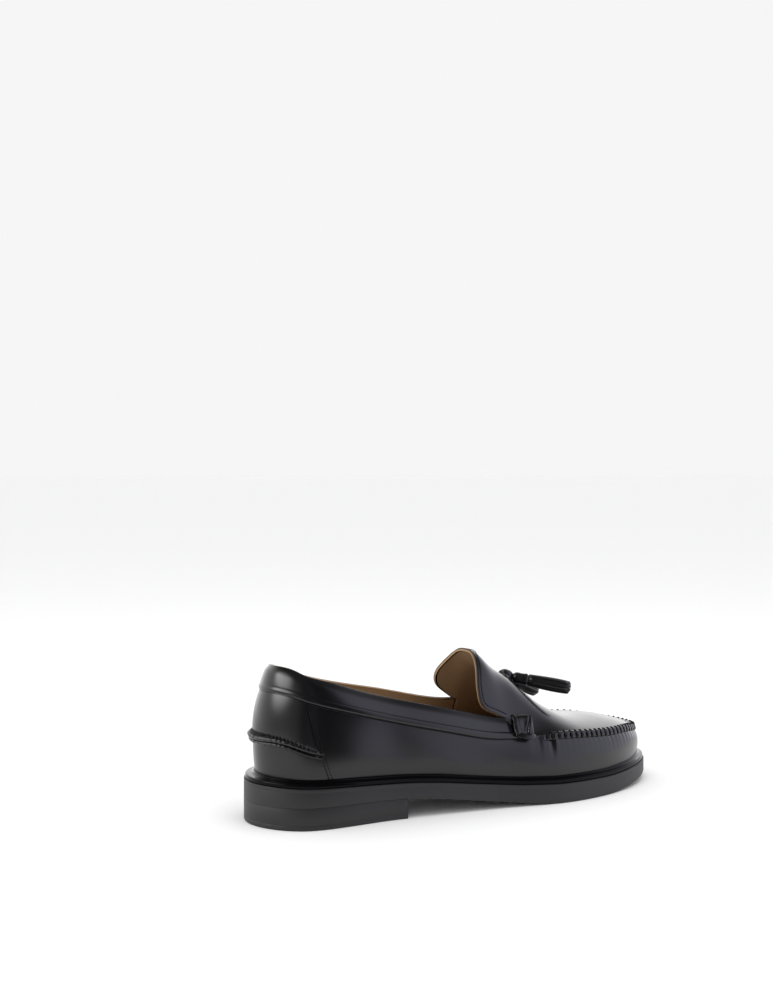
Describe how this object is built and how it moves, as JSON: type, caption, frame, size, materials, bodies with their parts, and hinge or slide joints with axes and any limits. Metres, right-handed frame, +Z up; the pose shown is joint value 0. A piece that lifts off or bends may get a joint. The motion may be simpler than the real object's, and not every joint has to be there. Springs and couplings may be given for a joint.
{
  "type": "tassel loafer",
  "caption": "Slip-on leather loafer for the right foot: moccasin-seamed vamp, high tongue, knotted lace with tassels, raised welt, flat sole and stacked heel.",
  "frame": {"origin": "on the floor, under the middle of the sole's length and width", "axes": "+X towards the toe, +Y towards the foot's inner (medial) side, +Z up"},
  "size_m": [0.296, 0.1048, 0.0945],
  "materials": {
    "outsole": "matte",
    "heel_block": "matte",
    "welt": "polished",
    "insole": "matte",
    "upper": "polished",
    "tab_lateral": "polished",
    "tab_medial": "polished",
    "lace_knot": "polished",
    "tassel_lateral": "satin",
    "tassel_medial": "satin"
  },
  "bodies": {
    "root": {"outsole": "outsole", "heel_block": "heel_block", "welt": "welt", "insole": "insole", "upper": "upper", "tab_lateral": "tab_lateral", "tab_medial": "tab_medial", "lace_knot": "lace_knot", "tassel_lateral": "tassel_lateral", "tassel_medial": "tassel_medial"}
  },
  "joints": []
}
